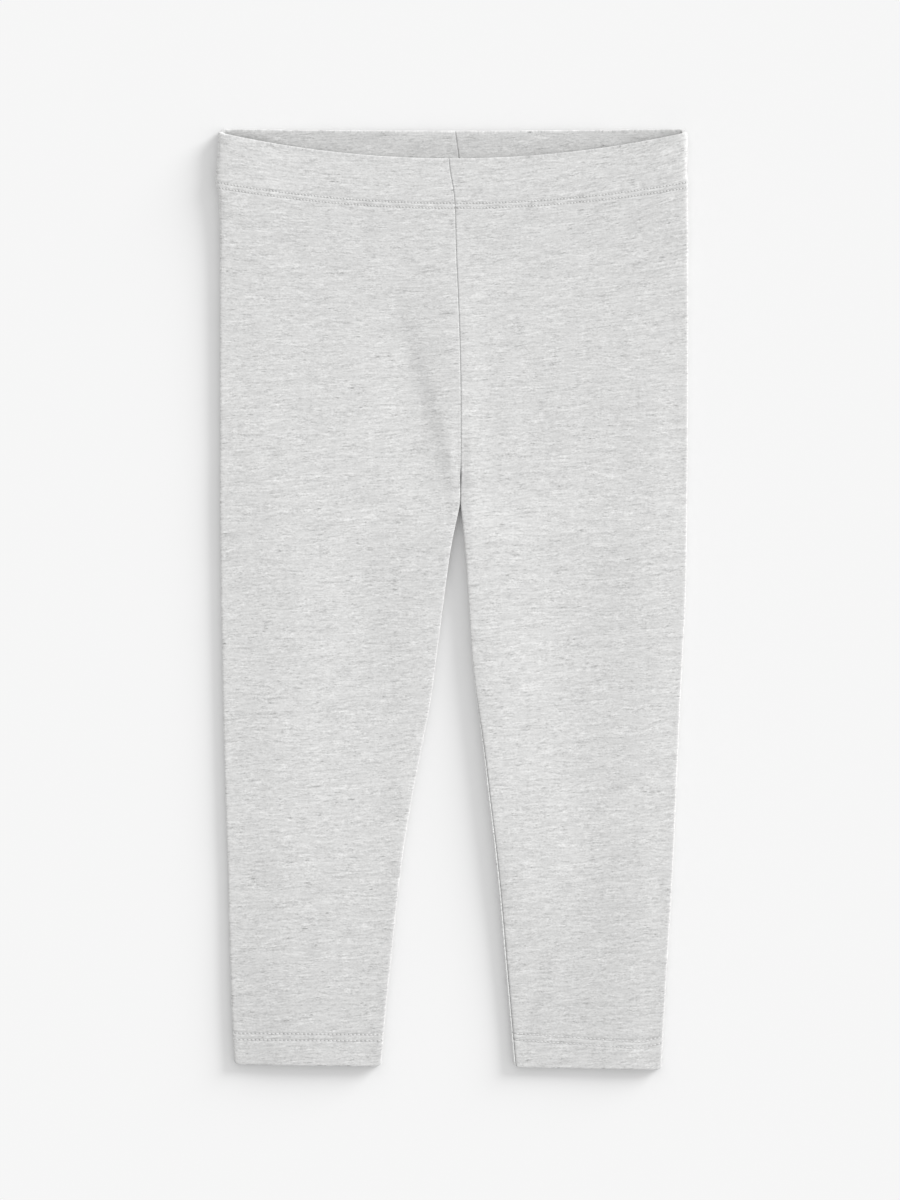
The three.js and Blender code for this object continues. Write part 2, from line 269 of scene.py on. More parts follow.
# Mesh columns round the panel and rows down it
SEAM_CROWDING = 1.8
FRONT_SEAM_COLUMNS = 12
FRONT_COLUMNS = 54
SIDE_COLUMNS = 14
BACK_COLUMNS = 34
BACK_SEAM_COLUMNS = 16
CASING_ROWS = 12
TURN_ROWS = 12
PANEL_ROWS = [
    {"to": 20.5, "spacing": 1.8},
    {"to": 31, "spacing": 0.45},
    {"to": 432, "spacing": 2.1},
    {"to": 443, "spacing": 0.45},
    {"to": LENGTH - HEM_TURN, "spacing": 1.6},
]
HEM_ROWS = 8

# Stretches of the panel's section, from the front seam edge to the back seam edge
FRONT_SEAM_ROLL, FRONT, SIDE_FOLD, BACK, BACK_SEAM_ROLL, SECTION_END = range(6)
FOLD_MIDDLE = SIDE_FOLD + 0.5
FRONT_END = (SIDE_FOLD + 0.2, SIDE_FOLD + 0.8)  # where the front's unevenness ends
NORMAL_STEP = 0.002  # of a stretch, for the section's direction


def smooth_step(low, high, value):
    t = np.clip((value - low) / (high - low), 0, 1)
    return t * t * (3 - 2 * t)


def mix(a, b, t):
    return a + (b - a) * t


def value_at(table, column, level):
    """Value of a table's column at each level, on a curve with no overshoot between rows."""
    at = np.array([row["level"] for row in table], float)
    value = np.array([row[column] for row in table], float)
    slope = np.diff(value) / np.diff(at)
    product = slope[:-1] * slope[1:]
    total = np.where(product > 0, slope[:-1] + slope[1:], 1)
    inside = np.where(product > 0, 2 * product / total, 0)
    tangent = np.concatenate((slope[:1], inside, slope[-1:]))
    level = np.clip(level, at[0], at[-1])
    row = np.clip(np.searchsorted(at, level, side="right") - 1, 0, len(at) - 2)
    span = at[row + 1] - at[row]
    t = (level - at[row]) / span
    ease = t * t * (3 - 2 * t)
    leave = t * (1 - t) ** 2 * span * tangent[row]
    arrive = t * t * (1 - t) * span * tangent[row + 1]
    return mix(value[row], value[row + 1], ease) + leave - arrive


def inner_reach(leg, face, level):
    """Reach of the seam edge: the centre seams above the crotch, the inner edge below it."""
    centre = leg["side"] * value_at(CENTRE_SEAMS, face, level)
    inner = value_at(leg["inner"], "reach", level)
    return np.where(level < CROTCH, centre, inner) + SEAM_GAP / 2


def outer_reach(leg, level):
    return value_at(leg["outer"], "reach", level)


def fold_radius(level):
    return value_at(LOFT, "width", level)


def fold_curve(angle, roundness):
    """Sine and cosine of an angle round a fold, drawn out towards square corners."""
    sine = np.clip(np.sin(angle), 0, 1) ** roundness
    cosine = np.cos(angle)
    return sine, np.sign(cosine) * np.abs(cosine) ** roundness


def laid_fold(angle, roundness):
    """Fold curve by the angle from its top, rounder underneath than on top."""
    return fold_curve(angle, mix(roundness, 1, smooth_step(*UNDERNEATH, angle)))


def soft_fold_height(side, reach, level):
    x = side * reach
    height = np.zeros(x.shape)
    for fold in SOFT_FOLDS:
        if side != fold["side"]:
            continue
        (x0, level0), (x1, level1) = fold["start"], fold["end"]
        run = math.hypot(x1 - x0, level1 - level0)
        along = ((x - x0) * (x1 - x0) + (level - level0) * (level1 - level0)) / run**2
        across = ((x - x0) * (level1 - level0) - (level - level0) * (x1 - x0)) / run
        along = np.clip(along, 0, 1)
        offset = np.clip(across / np.where(across < 0, *fold["spread"]), -1, 1)
        lengthwise = (1 - (2 * along - 1) ** 4) ** 2
        height += fold["height"] * lengthwise * (1 - offset**2) ** 2
    return height


def front_height(leg, reach, level):
    """Height of the front's outer face above the surface."""
    radius = fold_radius(level)
    middle = value_at(LOFT, "middle", level) + value_at(leg["lift"], "whole", level)
    to_outer = outer_reach(leg, level) - radius - reach
    to_inner = reach - radius - inner_reach(leg, "front", level)
    legs = smooth_step(CROTCH - FORK_RISE, CROTCH, level)
    outer_rise = 1 - smooth_step(0, SIDE_RISE, to_outer)
    inner_rise = legs * (1 - smooth_step(0, SIDE_RISE, to_inner))
    inner_lift = value_at(leg["lift"], "inner", level)
    inner_lift = inner_lift * (1 - smooth_step(0, INNER_RISE, to_inner))
    inner_plain = mix(1, smooth_step(0, FORK_FADE, to_inner), legs)
    plain = smooth_step(0, FOLD_FADE, to_outer) * inner_plain
    rise = value_at(LOFT, "fold", level) - value_at(LOFT, "middle", level)
    rise = rise * np.minimum(outer_rise + inner_rise, 1)
    crown = leg["crown"]
    past_crown = smooth_step(crown["peak"], crown["width"], to_outer)
    swell = smooth_step(0, crown["peak"], to_outer) * (1 - past_crown)
    swell = crown["height"] * swell * smooth_step(*crown["levels"], level)
    soft = plain * soft_fold_height(leg["side"], reach, level)
    return middle + rise + inner_lift + swell + soft


def front_seam_roll(leg, t, level, roundness):
    """Seam edge of the front: flat above the fork, rolled down the inner fold below it."""
    radius = fold_radius(level)
    inner = inner_reach(leg, "front", level)
    rolled = smooth_step(CROTCH - FRONT_ROLL, CROTCH, level)
    turn = np.radians(value_at(leg["seam_turn"], "degrees", level))
    angle = turn * (1 - t)
    half = front_height(leg, inner + radius, level) / 2
    part = (1 - t) * (SEAM_GAP / 2)
    sine, cosine = laid_fold(angle, roundness)
    flat_reach = inner + radius * t
    roll_reach = inner + radius * (1 - sine) + part * np.cos(turn)
    roll_z = half + half * cosine + part * np.sin(turn)
    flat_z = front_height(leg, flat_reach, level)
    return mix(flat_reach, roll_reach, rolled), mix(flat_z, roll_z, rolled)


def front_panel(leg, t, level, _):
    radius = fold_radius(level)
    first = inner_reach(leg, "front", level) + radius
    reach = mix(first, outer_reach(leg, level) - radius, t)
    return reach, front_height(leg, reach, level)


def side_fold(leg, t, level, roundness):
    radius = fold_radius(level)
    centre = outer_reach(leg, level) - radius
    half = front_height(leg, centre, level) / 2
    sine, cosine = laid_fold(np.pi * t, roundness)
    return centre + radius * sine, half + half * cosine


def bare_height(across, level):
    """How far the back reaches above the front's waist edge."""
    return mix(FRONT_DROP, SIDE_DROP, across**2) - level


def back_lift(leg, reach, level):
    """Height of the back's outer face, which curls up a little at the waist edge."""
    across = np.minimum(np.abs(reach) / outer_reach(leg, level), 1)
    bare = bare_height(across, level)
    return BACK_LIFT * smooth_step(*BACK_LIFT_SPAN, bare)


def back_panel(leg, t, level, _):
    radius = fold_radius(level)
    last = inner_reach(leg, "back", level) + radius
    reach = mix(outer_reach(leg, level) - radius, last, t)
    return reach, back_lift(leg, reach, level)


def back_seam_roll(leg, t, level, roundness):
    """Seam edge of the back: the rest of the inner fold, from the surface up to the seam."""
    radius = fold_radius(level)
    inner = inner_reach(leg, "back", level)
    rolled = smooth_step(CROTCH - BACK_ROLL, CROTCH, level)
    turn = np.radians(value_at(leg["seam_turn"], "degrees", level))
    angle = mix(np.pi, turn, t)
    half = front_height(leg, inner + radius, level) / 2
    part = t * (SEAM_GAP / 2)
    sine, cosine = laid_fold(angle, roundness)
    roll_reach = inner + radius * (1 - sine) - part * np.cos(turn)
    roll_z = half + half * cosine - part * np.sin(turn)
    flat_reach = inner + radius * (1 - t)
    flat_z = back_lift(leg, flat_reach, level)
    return mix(flat_reach, roll_reach, rolled), mix(flat_z, roll_z, rolled)


STRETCHES = (front_seam_roll, front_panel, side_fold, back_panel, back_seam_roll)


def section_points(leg, place, level, turned_in=0.0):
    """Outer face of the panel at places in its section, as reach and height. Its folds are
    rounder where it is turned in, so that the layers nest."""
    place, level, turned_in = np.broadcast_arrays(place, level, turned_in)
    stretch = np.minimum(np.floor(place), BACK_SEAM_ROLL)
    below = smooth_step(CROTCH, CROTCH + FORK_RISE, level)
    inner = mix(FORK_ROUND, leg["inner_round"], below)
    at_inner = (stretch == FRONT_SEAM_ROLL) | (stretch == BACK_SEAM_ROLL)
    roundness = np.where(at_inner, inner, value_at(LOFT, "round", level))
    roundness = mix(roundness, 1, turned_in)
    reach, z = np.zeros(place.shape), np.zeros(place.shape)
    for number, shape_of in enumerate(STRETCHES):
        here = stretch == number
        at = (place[here] - number, level[here], roundness[here])
        reach[here], z[here] = shape_of(leg, *at)
    return reach, z


def waist_drop(leg, place, reach, level):
    """Drop of the waist edge below level 0."""
    outer = outer_reach(leg, level)
    across = np.minimum(np.abs(reach) / outer, 1)
    into_corner = np.clip(1 - (outer - reach) / SIDE_CORNER, 0, 1)
    corner = SIDE_DROP * (1 - np.sqrt(1 - into_corner**2))
    front = mix(FRONT_DROP, SIDE_DROP, across**2)
    back = BACK_DROP * (1 - across**2) + corner
    return np.where(place < FOLD_MIDDLE, front, back)


def foot_rise(leg, reach, level):
    """Rise of the hem above the lowest level, with its slant and rounded corners."""
    inner = inner_reach(leg, "front", level)
    outer = outer_reach(leg, level)
    across = (reach - inner) / (outer - inner)
    to_edge = np.maximum(np.minimum(reach - inner, outer - reach), 0)
    into_corner = np.maximum(1 - to_edge / FOOT_CORNER_WIDTH, 0)
    corner = FOOT_CORNER_RISE * (1 - np.sqrt(1 - into_corner**2))
    return LENGTH - mix(leg["foot"]["inner"], leg["foot"]["outer"], across) + corner


def row_levels(leg, place, down):
    """Level of each mesh row, which follows the waist edge at the top and the hem at the foot."""
    reach, _ = section_points(leg, place, down)
    fade = np.clip(1 - down / DROP_FADE, 0, 1)
    foot_fade = np.clip(1 - (LENGTH - down) / FOOT_FADE, 0, 1)
    drop = fade * waist_drop(leg, place, reach, down)
    return down + drop - foot_fade * foot_rise(leg, reach, down)


class Surface:
    """The panel's outer face at a grid of places and distances down the cloth."""

    def __init__(self, leg, place, down, turned_in=0.0):
        place, down = np.broadcast_arrays(place, down)
        self.leg, self.place, self.down = leg, place, down
        self.level = row_levels(leg, place, down)
        self.reach, self.z = section_points(leg, place, self.level, turned_in)
        lower = np.maximum(place - NORMAL_STEP, 0)
        upper = np.minimum(place + NORMAL_STEP, SECTION_END)
        before = section_points(leg, lower, self.level, turned_in)
        after = section_points(leg, upper, self.level, turned_in)
        step = np.array(after) - np.array(before)
        self.along = step / np.hypot(*step)
        steps = [np.diff(value, axis=0) for value in (self.reach, self.z, self.level)]
        walk = np.cumsum(np.sqrt(sum(step**2 for step in steps)), axis=0)
        from_front = np.concatenate((np.zeros((1, down.shape[1])), walk))
        self.to_seam = np.minimum(from_front, from_front[-1] - from_front)
        middle = np.argmin(np.abs(place[:, 0] - FOLD_MIDDLE))
        self.around = from_front - from_front[middle]

    def x(self):
        return self.leg["side"] * self.reach

    def points(self, depth):
        """Points a depth inside the outer face."""
        along_reach, along_z = self.along
        x = self.leg["side"] * (self.reach + depth * along_z)
        y = LENGTH / 2 - self.level
        return np.stack((x, y, self.z - depth * along_reach), axis=-1)

    def past_waist_row(self):
        return self.down - WAIST_ROW

    def past_hem_row(self):
        """Distance below the upper row of hem stitches."""
        first = inner_reach(self.leg, "front", self.level)
        across = (self.reach - first) / (outer_reach(self.leg, self.level) - first)
        row = self.leg["hem_row"]
        above = mix(row["inner"], row["outer"], across)
        return self.down - LENGTH + above + row["edge"] * smooth_step(HEM_CLIMB, 1, across)

    def relief(self, seam_share=1.0):
        """How far seams, stitches and unevenness sink the cloth into itself."""
        seam = SEAM_SINK * np.clip(1 - self.to_seam / SEAM_WIDTH, 0, 1) ** 2
        waist = stitch_relief(self.past_waist_row(), WAIST_SPACING, self.around, SEED + 1)
        hem = stitch_relief(self.past_hem_row(), HEM_SPACING, self.around, SEED + 2)
        on_front = 1 - smooth_step(*FRONT_END, self.place)
        on_front = on_front * smooth_step(0, UNEVEN_FADE, self.to_seam)
        pucker = waist["pucker"] + hem["pucker"] - slow_waves(self.x(), self.level)
        shoulder = SHOULDER_SINK * np.clip(1 - self.to_seam / SHOULDER_WIDTH, 0, 1) ** 2
        shoulder = shoulder * (self.place < SIDE_FOLD) * smooth_step(*SHOULDER_LEVELS, self.level)
        channels = waist["channel"] + hem["channel"]
        return seam_share * seam + shoulder + channels + on_front * pucker


def stitch_relief(past, spacing, around, seed):
    """Channels and puckers of a twin row of stitches."""
    from_middle = past - spacing / 2
    from_row = np.abs(from_middle) - spacing / 2
    random = np.random.default_rng(seed)
    ripple = 0
    for length in PUCKER_LENGTHS:
        turns = around / (PUCKER_SWELL * length) + random.random()
        swing = 1 + PUCKER_SWING * np.sin(2 * math.pi * turns)
        ripple = ripple + swing * np.sin(2 * math.pi * (around / length + random.random()))
    return {
        "channel": CHANNEL_DEPTH * np.exp(-((from_row / CHANNEL_WIDTH) ** 2)),
        "pucker": PUCKER_HEIGHT * ripple * np.exp(-((from_middle / PUCKER_REACH) ** 2)),
    }


def slow_waves(x, level):
    random = np.random.default_rng(SEED)
    height = 0
    for _ in range(WAVES):
        length = random.uniform(*WAVE_LENGTHS)
        heading = random.uniform(0, math.pi)
        run = (x * math.cos(heading) + level * math.sin(heading)) / length
        amplitude = WAVE_SLOPE * length / (2 * math.pi)
        height = height + amplitude * np.sin(2 * math.pi * (run + random.random()))
    return height


def seam_crowded(steps):
    return (np.arange(steps + 1) / steps) ** SEAM_CROWDING


def mesh_places():
    """Places in the section where the mesh has its columns, crowded towards the seam edges."""
    return np.concatenate((
        seam_crowded(FRONT_SEAM_COLUMNS)[:-1],
        FRONT + np.arange(FRONT_COLUMNS) / FRONT_COLUMNS,
        SIDE_FOLD + np.arange(SIDE_COLUMNS) / SIDE_COLUMNS,
        BACK + np.arange(BACK_COLUMNS) / BACK_COLUMNS,
        SECTION_END - seam_crowded(BACK_SEAM_COLUMNS)[::-1],
    ))


def panel_downs():
    downs = [WAIST_TURN]
    for span in PANEL_ROWS:
        steps = round((span["to"] - downs[-1]) / span["spacing"])
        downs.extend(np.linspace(downs[-1], span["to"], steps + 1)[1:])
    return np.array(downs)


def cloth_face(inset):
    """Rows of one face of a leg's cloth, from the raw edge of the casing over the waist edge,
    down the panel, round the hem and up to its raw edge, as distance down and depth. The outer
    face has no inset, and the inner face is inset by the cloth's thickness."""
    casing = np.linspace(CASING_DEPTH, WAIST_TURN, CASING_ROWS, endpoint=False)
    hem = np.linspace(LENGTH - HEM_TURN, LENGTH - HEM_DEPTH, HEM_ROWS + 1)[1:]
    panel = panel_downs()
    waist_angle = np.pi * (1 - np.arange(TURN_ROWS) / TURN_ROWS)
    hem_angle = np.pi * np.arange(1, TURN_ROWS + 1) / TURN_ROWS
    waist_radius, hem_radius = WAIST_TURN - inset, HEM_TURN - inset
    waist_sine, waist_cosine = fold_curve(waist_angle, TURN_ROUND)
    hem_sine, hem_cosine = fold_curve(hem_angle, TURN_ROUND)
    down = np.concatenate((
        casing,
        WAIST_TURN - waist_radius * waist_sine,
        panel,
        LENGTH - HEM_TURN + hem_radius * hem_sine,
        hem,
    ))
    depth = np.concatenate((
        2 * WAIST_TURN - inset - CASING_PINCH * smooth_step(*CASING_PINCH_SPAN, casing),
        WAIST_TURN - waist_radius * waist_cosine,
        np.full(panel.shape, inset),
        HEM_TURN - hem_radius * hem_cosine,
        np.full(hem.shape, 2 * HEM_TURN - inset),
    ))
    turned_in = np.concatenate((
        np.ones(casing.shape),
        waist_angle / np.pi,
        np.zeros(panel.shape),
        hem_angle / np.pi,
        np.ones(hem.shape),
    ))
    length = np.concatenate((
        -casing,
        np.linspace(0, WAIST_TURN, TURN_ROWS, endpoint=False),
        panel,
        np.full(hem_angle.shape, LENGTH),
        2 * LENGTH - hem,
    ))
    return down[None], depth[None], turned_in[None], length[None]


def build_piece(name, points, faces, flip):
    mesh = bpy.data.meshes.new(name)
    order = slice(None, None, -1) if flip else slice(None)
    mesh.from_pydata((points * MM).tolist(), [], [face[order] for face in faces])
    mesh.shade_smooth()
    piece = bpy.data.objects.new(name, mesh)
    bpy.context.collection.objects.link(piece)
    return piece


def add_vector(piece, name, vectors):
    """Store a vector in metres at each point of a piece."""
    attribute = piece.data.attributes.new(name, "FLOAT_VECTOR", "POINT")
    attribute.data.foreach_set("vector", (vectors * MM).ravel())


def shell_faces(columns, rows):
    """Faces of a closed shell over a grid: the outer face, the inner face and the four rims."""
    outer = np.arange(columns * rows).reshape(columns, rows)
    inner = outer + columns * rows

    def grid(a):
        corners = (a[:-1, :-1], a[:-1, 1:], a[1:, 1:], a[1:, :-1])
        return np.stack(corners, axis=-1).reshape(-1, 4)

    def rim(a, b):
        return np.stack((a[:-1], a[1:], b[1:], b[:-1]), axis=-1)

    return np.concatenate((
        grid(outer),
        grid(inner)[:, ::-1],
        rim(inner[0], outer[0]),
        rim(outer[-1], inner[-1]),
        rim(outer[:, 0], inner[:, 0]),
        rim(inner[:, -1], outer[:, -1]),
    )).tolist()


def cloth_shade(leg, outside, turned_in):
    """Painted shade on the cloth's outer face: in the waist opening, along the front waist edge and
    in the lines of the seams."""
    across = np.minimum(np.abs(outside.reach) / outer_reach(leg, outside.level), 1)
    bare = bare_height(across, outside.level)
    mouth = np.exp(-np.maximum(bare, 0) / MOUTH_FADE) * mix(*MOUTH_SHADES, across**2)
    mouth = mouth * turned_in * (outside.place > FOLD_MIDDLE)
    edge = EDGE_SHADE * np.exp(-((outside.down / EDGE_FADE) ** 2))
    edge = edge * (turned_in < 1) * (outside.place < SIDE_FOLD)
    crease = np.clip(1 - ((outside.level - CREASE_LEVEL) / CREASE_LENGTH) ** 2, 0, 1)
    width = mix(SEAM_SHADE_WIDTH, CREASE_SHADE_WIDTH, crease)
    near_seam = np.exp(-((outside.to_seam / width) ** 2))
    line = mix(*SEAM_SHADES, smooth_step(CROTCH, CROTCH + FORK_RISE, outside.level))
    seam = near_seam * mix(line, CREASE_SHADE, crease) * (outside.place < FRONT)
    inside_seam = near_seam * INSIDE_SEAM_SHADE * (turned_in == 1)
    return mouth + edge + (seam + inside_seam)


def leg_cloth(leg):
    """One leg as a thin closed shell, with its casing and hem turned in."""
    place = mesh_places()[:, None]
    down, depth, turned_in, length = cloth_face(0)
    outside = Surface(leg, place, down, turned_in)
    seam_share = mix(1, SEAM_INSIDE, turned_in)
    sunk = outside.relief(seam_share)
    near = outside.points(depth + sunk)
    down, depth, _, _ = cloth_face(CLOTH)
    far = Surface(leg, place, down, turned_in).points(depth + sunk)
    points = np.concatenate((near.reshape(-1, 3), far.reshape(-1, 3)))
    points[:, 2] = np.maximum(points[:, 2], 0)
    faces = shell_faces(*outside.place.shape)
    piece = build_piece(f"leg_{leg['name']}_cloth", points, faces, leg["side"] < 0)

    shade = cloth_shade(leg, outside, turned_in)
    side = np.full(outside.place.shape, MARL_SHIFT * leg["side"])
    cloth = np.stack(np.broadcast_arrays(leg["side"] * outside.around, length, side), axis=-1)
    # Places beside the stitch rows, which set where the needle holes get painted shade; none on
    # turned-in cloth or the inner face
    stitch_places = np.stack((outside.around, outside.past_waist_row(), outside.past_hem_row()), axis=-1)
    stitch_places[np.broadcast_to(turned_in > 0, outside.place.shape)] = (0, -LENGTH, -LENGTH)
    far_from_stitches = np.full(stitch_places.shape, -LENGTH)
    add_vector(piece, "cloth", np.concatenate((cloth, cloth)).reshape(-1, 3))
    add_vector(piece, "stitch_places", np.concatenate((stitch_places, far_from_stitches)).reshape(-1, 3))
    shades = np.concatenate((shade, np.zeros(shade.shape))).ravel()
    piece.data.attributes.new("shade", "FLOAT", "POINT").data.foreach_set("value", shades)
    return piece


# Rings of one stitch: place along it, lift above the cloth and radius, as shares of the pitch
# and of the thread's radius
STITCH_RINGS = [
    {"along": -0.42, "lift": -0.9, "radius": 0.4},
    {"along": -0.34, "lift": -0.2, "radius": 0.85},
    {"along": -0.14, "lift": 0.3, "radius": 1.0},
    {"along": 0.14, "lift": 0.3, "radius": 1.0},
    {"along": 0.34, "lift": -0.2, "radius": 0.85},
    {"along": 0.42, "lift": -0.9, "radius": 0.4},
]
STITCH_SIDES = 6
STITCH_AIM = 0.05  # mm either side of a ring, for the stitch's direction
ROW_SAMPLES = 1201


def row_places():
    return np.linspace(0, SECTION_END, ROW_SAMPLES)[:, None]


def row_stitches(leg, down, pitch):
    """Points of every stitch in one row, by stitch, ring and side."""
    surface = Surface(leg, row_places(), down)
    depth = surface.relief()
    base = surface.points(depth)[:, 0]
    outward = surface.points(depth - 1)[:, 0] - base
    around = surface.around[:, 0]
    first = math.ceil((around[0] + SEAM_CLEAR) / pitch)
    last = math.floor((around[-1] - SEAM_CLEAR) / pitch)
    middle = np.arange(first, last + 1)[:, None] * pitch
    ring_at = middle + pitch * np.array([ring["along"] for ring in STITCH_RINGS])

    def at(values, offset=0.0):
        return np.stack([np.interp(ring_at + offset, around, values[:, k]) for k in range(3)], -1)

    ahead = at(base, STITCH_AIM) - at(base, -STITCH_AIM)
    ahead /= np.linalg.norm(ahead, axis=-1, keepdims=True)
    up = at(outward)
    across = np.cross(ahead, up)
    lift = THREAD_RADIUS * np.array([ring["lift"] for ring in STITCH_RINGS])[:, None]
    radius = THREAD_RADIUS * np.array([ring["radius"] for ring in STITCH_RINGS])[:, None, None]
    centre = at(base) + lift * up
    angle = (2 * math.pi * np.arange(STITCH_SIDES) / STITCH_SIDES)[:, None]
    circle = np.cos(angle) * across[:, :, None] + np.sin(angle) * up[:, :, None]
    return centre[:, :, None] + radius * circle


def stitching(name, leg, downs, pitch):
    """Rows of stitches on one leg as one piece."""
    stitches = np.concatenate([row_stitches(leg, down, pitch) for down in downs])
    count, rings, sides = stitches.shape[:3]
    index = np.arange(count * rings * sides).reshape(count, rings, sides)
    following = np.roll(index, -1, axis=2)
    wall = np.stack((index[:, :-1], index[:, 1:], following[:, 1:], following[:, :-1]), axis=-1)
    faces = wall.reshape(-1, 4).tolist() + index[:, 0, :].tolist() + index[:, -1, ::-1].tolist()
    points = stitches.reshape(-1, 3)
    points[:, 2] = np.maximum(points[:, 2], 0)
    return build_piece(f"{name}_{leg['name']}", points, faces, leg["side"] > 0)


def hem_row_down(leg, row):
    guess = Surface(leg, row_places(), LENGTH - leg["hem_row"]["inner"])
    return guess.down - guess.past_hem_row() + row * HEM_SPACING


def add_node(tree, kind, inputs=None, **settings):
    """Add a shader node, set it and link it: an input's value may be another node's output."""
    node = tree.nodes.new(kind)
    for name, value in settings.items():
        setattr(node, name, value)
    for name, value in (inputs or {}).items():
        if isinstance(value, bpy.types.NodeSocket):
            tree.links.new(value, node.inputs[name])
        else:
            node.inputs[name].default_value = value
    return node


def calculate(tree, operation, *values):
    node = add_node(tree, "ShaderNodeMath", dict(enumerate(values)), operation=operation)
    return node.outputs[0]


def new_material(name):
    material = bpy.data.materials.new(name)
    material.use_nodes = True
    material.node_tree.nodes.clear()
    return material, material.node_tree


def streaks(tree, coordinates, length, width, tilt, detail=2.0):
    """Noise drawn out along the knit's rows, from about -0.5 to 0.5."""
    mapping = add_node(tree, "ShaderNodeMapping", {
        "Vector": coordinates,
        "Rotation": (0, 0, math.radians(-tilt)),
        "Scale": (length * MM, width * MM, 1),
    }, vector_type="TEXTURE")
    noise = add_node(tree, "ShaderNodeTexNoise", {
        "Vector": mapping.outputs[0],
        "Scale": 1.0,
        "Detail": detail,
        "Roughness": 0.55,
    })
    return calculate(tree, "SUBTRACT", noise.outputs[0], 0.5)


def twin_row_dots(tree, around, past, spacing, pitch):
    """Mask for the painted shade of needle holes: one at a needle hole of a twin row, none between.
    """
    from_middle = calculate(tree, "SUBTRACT", past, spacing * MM / 2)
    off_row = calculate(tree, "SUBTRACT", calculate(tree, "ABSOLUTE", from_middle),
                        spacing * MM / 2)
    turn = calculate(tree, "MULTIPLY", around, 2 * math.pi / (pitch * MM))
    hole = calculate(tree, "MULTIPLY_ADD", calculate(tree, "COSINE", turn), -0.5, 0.5)
    hole = calculate(tree, "POWER", hole, HOLE_SHARPNESS)
    near = calculate(tree, "DIVIDE", calculate(tree, "ABSOLUTE", off_row), HOLE_WIDTH * MM)
    near = calculate(tree, "SUBTRACT", 1.0, calculate(tree, "MINIMUM", near, 1.0))
    return calculate(tree, "MULTIPLY", hole, near)


# Marl jersey
JERSEY_GREY = (0.702, 0.702, 0.697)
THREAD_GREY = (0.74, 0.74, 0.735)
# Needle holes get painted shade: dark dots along each twin row of stitches
HOLE_SHARPNESS = 2.0
HOLE_WIDTH = 0.6
NEEDLE_HOLE_SHADE = 0.42
MOUTH_FADE = 3.5  # mm over which the shade behind the front waist edge fades
MOUTH_SHADES = (0.15, 0.36)  # its depth at the centre and at the side folds
EDGE_SHADE = 0.08  # along the front waist edge
EDGE_FADE = 1.8
LOW_SHADE = 0.065  # painted shade that darkens the lower legs
LOW_LEVELS = (330, 420)  # between which it comes in
SEAM_SHADES = (0.1, 0.4)  # in the lines of the centre seams and the inseams
INSIDE_SEAM_SHADE = 0.25
SEAM_SHADE_WIDTH = 0.4
CREASE_SHADE_WIDTH = 0.6
CREASE_SHADE = 0.55  # where the front closes above the fork
CREASE_LEVEL = 172
CREASE_LENGTH = 12
MARL = [
    {"length": 8.5, "width": 1.1, "tilt": 3, "strength": 0.47},
    {"length": 22.0, "width": 3.5, "tilt": 5, "strength": 0.27},
    {"length": 2.6, "width": 1.0, "tilt": 2, "strength": 0.56},
    {"length": 1.0, "width": 0.7, "tilt": 0, "strength": 0.47},
]
FLECKS = [
    {"length": 4.2, "width": 0.85, "tilt": 4, "threshold": 0.1, "strength": 2.4},
    {"length": 2.2, "width": 0.6, "tilt": 2, "threshold": 0.15, "strength": 3.6},
]
PATCHES = 2.2  # how much the marl's contrast changes from patch to patch
PATCH_SIZE = (9.0, 5.0)
MARL_SHIFT = 1000.0  # sets the two legs' marl apart
WARP_SIZE = (28.0, 20.0)  # of the waves in the knit's rows
WARP_HEIGHT = 3.0
NAP_SIZE = (1.1, 0.6)
NAP_DEPTH = 0.2
NAP_STRENGTH = 0.23


